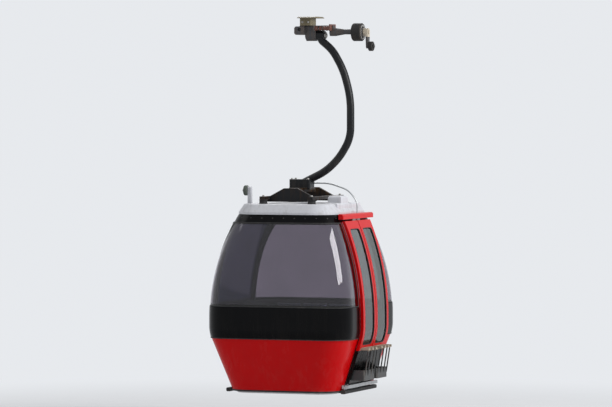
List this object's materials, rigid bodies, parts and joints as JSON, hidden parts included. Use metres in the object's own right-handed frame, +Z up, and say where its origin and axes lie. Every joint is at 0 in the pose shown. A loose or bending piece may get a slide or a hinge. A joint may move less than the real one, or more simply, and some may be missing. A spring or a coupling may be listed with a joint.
{
  "type": "eight-seat gondola cable car cabin with hanger and detachable grip",
  "caption": "Rounded cable car cabin with sliding doors, ski racks and wrap-round windows, hung from a bowed arm on a rope grip.",
  "frame": {"origin": "on the axis of the haul rope, at the middle of the grip's jaws", "axes": "+Y along the rope, +Z up, +X towards the side with the doors"},
  "size_m": [1.8691, 1.966, 4.388],
  "materials": {
    "red_paint": "gloss",
    "black_gloss": "gloss",
    "roof_paint": "satin",
    "tinted_pane": "gloss",
    "dark_steel": "satin",
    "grip_casting": "satin",
    "bronze_parts": "satin",
    "olive_paint": "satin",
    "bright_steel": "satin",
    "aluminium_frame": "satin",
    "beige_paint": "satin",
    "black_rubber": "matte",
    "wheel_lining": "matte",
    "interior_plastic": "matte",
    "seat_cloth": "matte"
  },
  "bodies": {
    "grip": {"grip_body": "grip_casting", "moving_jaw": "grip_casting", "hanger_pin": "bright_steel", "spring_cans": "bronze_parts", "spring_yoke": "bronze_parts", "drive_shoe": "olive_paint", "clamp_lever": "beige_paint"},
    "running_wheel": {"running_wheel": "bright_steel", "wheel_tyre": "wheel_lining"},
    "lever_roller": {"lever_roller": "wheel_lining"},
    "roof_roller": {"roof_roller": "wheel_lining"},
    "door_front": {"door_frame_front": "red_paint", "door_glass_front": "tinted_pane", "door_seal_front": "black_rubber", "door_trolley_front": "bright_steel", "ski_rack_front": "beige_paint"},
    "door_rear": {"door_frame_rear": "red_paint", "door_glass_rear": "tinted_pane", "door_seal_rear": "black_rubber", "door_trolley_rear": "bright_steel", "ski_rack_rear": "beige_paint"},
    "carrier": {"hanger_arm": "dark_steel", "suspension_frame": "dark_steel", "rubber_mounts": "black_rubber", "bumper_rail_door_side": "black_rubber", "bumper_rail_far_side": "black_rubber", "roof_shell": "roof_paint", "door_drive_cover": "roof_paint", "roof_roller_post": "roof_paint", "ceiling_panel": "interior_plastic", "floor_plate": "interior_plastic", "floor_frame": "aluminium_frame", "door_sill": "aluminium_frame", "door_control_rod": "aluminium_frame", "header_ring": "black_gloss", "side_posts": "black_gloss", "waist_panel_side": "black_gloss", "door_posts": "red_paint", "door_track": "red_paint", "lower_panel_side": "red_paint", "side_window": "tinted_pane", "lower_panel_front": "red_paint", "waist_panel_front": "black_gloss", "end_window_front": "tinted_pane", "bench_front": "interior_plastic", "seat_cushions_front": "seat_cloth", "back_cushions_front": "seat_cloth", "lower_panel_rear": "red_paint", "waist_panel_rear": "black_gloss", "end_window_rear": "tinted_pane", "bench_rear": "interior_plastic", "seat_cushions_rear": "seat_cloth", "back_cushions_rear": "seat_cloth"}
  },
  "joints": [
    {"name": "wheel_turn", "type": "hinge", "parent": "grip", "child": "running_wheel", "pos_m": [0.7, 0, -0.035], "axis": [1, 0, 0], "continuous": true},
    {"name": "lever_roller_turn", "type": "hinge", "parent": "grip", "child": "lever_roller", "pos_m": [0.862, 0, -0.2], "axis": [1, 0, 0], "continuous": true},
    {"name": "carrier_swing", "type": "hinge", "parent": "grip", "child": "carrier", "pos_m": [0.241, 0, -0.07], "axis": [1, 0, 0], "range_deg": [-35, 35]},
    {"name": "roof_roller_turn", "type": "hinge", "parent": "carrier", "child": "roof_roller", "pos_m": [-0.586, -0.3, -1.89], "axis": [1, 0, 0], "continuous": true},
    {"name": "door_rear_slide", "type": "slide", "parent": "carrier", "child": "door_rear", "axis": [0, 1, 0], "range_m": [0, 0.39]},
    {"name": "door_front_slide", "type": "slide", "parent": "carrier", "child": "door_front", "axis": [0, -1, 0], "range_m": [0, 0.39]}
  ],
  "couplings": [
    {"joint": "door_front_slide", "follows": "door_rear_slide", "ratio": 1}
  ]
}
